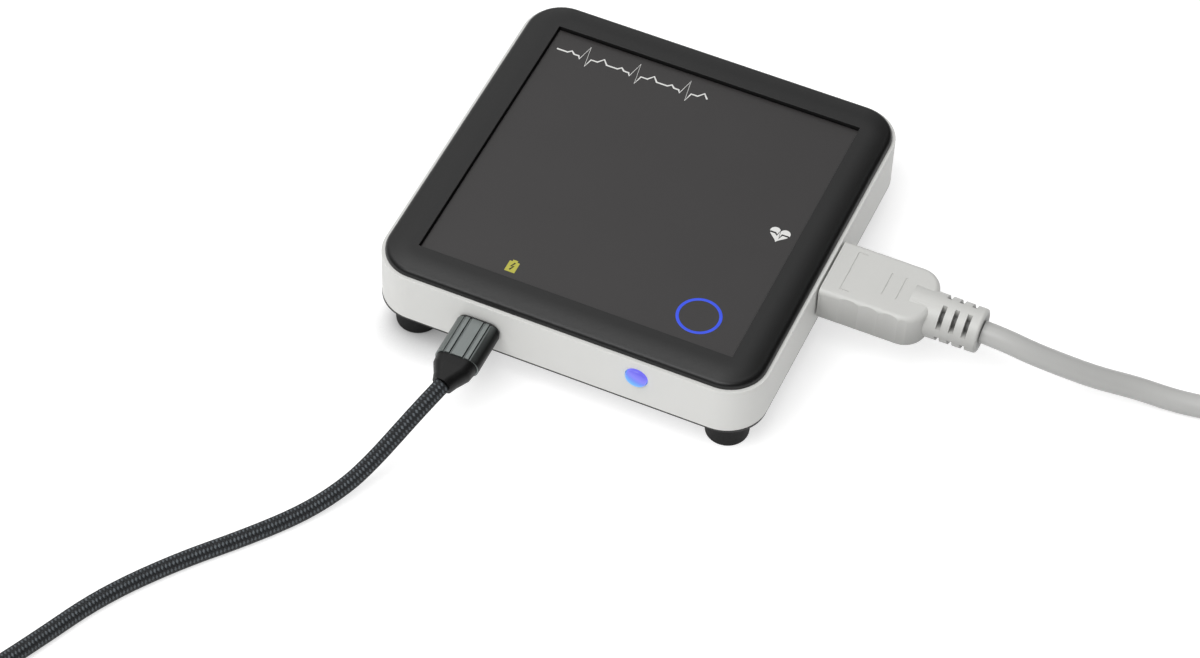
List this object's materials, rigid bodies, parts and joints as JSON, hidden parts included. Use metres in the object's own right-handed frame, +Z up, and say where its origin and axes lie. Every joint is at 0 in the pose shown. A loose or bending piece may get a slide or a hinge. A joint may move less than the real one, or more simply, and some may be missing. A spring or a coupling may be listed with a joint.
{
  "type": "veterinary ecg machine",
  "caption": "Small square desktop ECG recorder box with a dark window, lit button, plugged USB lead and patient trunk cable with its electrode yoke.",
  "frame": {"origin": "on the table under the middle of the box, level with the underside of its feet", "axes": "+Z up from the table; -Y out of the wall with the USB socket and the button; +X out of the wall with the trunk cable's socket"},
  "size_m": [0.375, 0.3279, 0.0291],
  "materials": {
    "white_abs": "satin moulded",
    "black_abs": "fine texture",
    "dark_acrylic": "smooth",
    "foam_tape": "foam",
    "foot_rubber": "satin",
    "zinc_steel": "zinc plated",
    "plated_steel": "nickel plated",
    "board_laminate": "solder mask",
    "black_nylon": "moulded",
    "clear_blue_cap": "polished",
    "white_nylon": "moulded",
    "lamp_white": "moulded",
    "chip_epoxy": "fine blasted",
    "battery_foil": "smooth foil",
    "wire_jacket": "smooth",
    "grey_aluminium": "satin anodised",
    "black_rubber": "satin",
    "dark_braid": "woven",
    "black_strap": "woven",
    "grey_pvc": "moulded",
    "grey_jacket": "smooth",
    "grey_strap": "woven",
    "gold_brass": "plated"
  },
  "bodies": {
    "housing": {"side_shell": "white_abs", "base_plate": "black_abs", "top_cover": "black_abs", "display_window": "dark_acrylic", "window_tape": "foam_tape", "foot_front_left": "foot_rubber", "foot_front_right": "foot_rubber", "foot_rear_left": "foot_rubber", "foot_rear_right": "foot_rubber", "foot_washers": "zinc_steel", "case_screws": "zinc_steel", "board_screws": "zinc_steel", "main_board": "board_laminate", "usb_socket": "plated_steel", "usb_socket_tongue": "black_nylon", "lead_socket": "plated_steel", "lead_socket_foot": "black_nylon", "lead_socket_tongue": "black_nylon", "power_switch": "black_nylon", "button_lamp": "lamp_white", "symbol_lamps": "lamp_white", "light_wells": "black_nylon", "amplifier_chips": "chip_epoxy", "shield_can": "plated_steel", "processor_chip": "chip_epoxy", "radio_module": "plated_steel", "battery_pad": "foam_tape", "battery_pack": "battery_foil", "battery_connector": "white_nylon", "battery_wires": "wire_jacket"},
    "button": {"power_button": "clear_blue_cap", "switch_plunger": "white_nylon"},
    "usb_lead": {"usb_plug_shell": "plated_steel", "usb_plug_core": "black_nylon", "usb_plug_sleeve": "grey_aluminium", "usb_strain_relief": "black_rubber", "usb_cord": "dark_braid", "usb_cord_coil": "dark_braid", "usb_cord_tie": "black_strap", "usb_cord_tail": "dark_braid", "usb_a_strain_relief": "black_rubber", "usb_a_sleeve": "grey_aluminium", "usb_a_core": "black_nylon", "usb_a_shell": "plated_steel", "usb_a_contact_block": "white_nylon"},
    "trunk_lead": {"lead_plug_shell": "plated_steel", "lead_plug": "grey_pvc", "lead_cable": "grey_jacket", "lead_cable_coil": "grey_jacket", "lead_cable_tie": "grey_strap", "lead_cable_tail": "grey_jacket", "yoke_strain_relief": "grey_pvc", "lead_yoke": "grey_pvc", "yoke_sockets": "gold_brass"}
  },
  "joints": [
    {"name": "button_press", "type": "slide", "parent": "housing", "child": "button", "axis": [0, 1, 0], "range_m": [0, 0.0005], "stiffness_N_per_m": 3000, "springref_m": -0.0001},
    {"name": "usb_plug_pull", "type": "slide", "parent": "housing", "child": "usb_lead", "axis": [0, -1, 0], "range_m": [0, 0.012]},
    {"name": "trunk_plug_pull", "type": "slide", "parent": "housing", "child": "trunk_lead", "axis": [1, 0, 0], "range_m": [0, 0.014]}
  ]
}
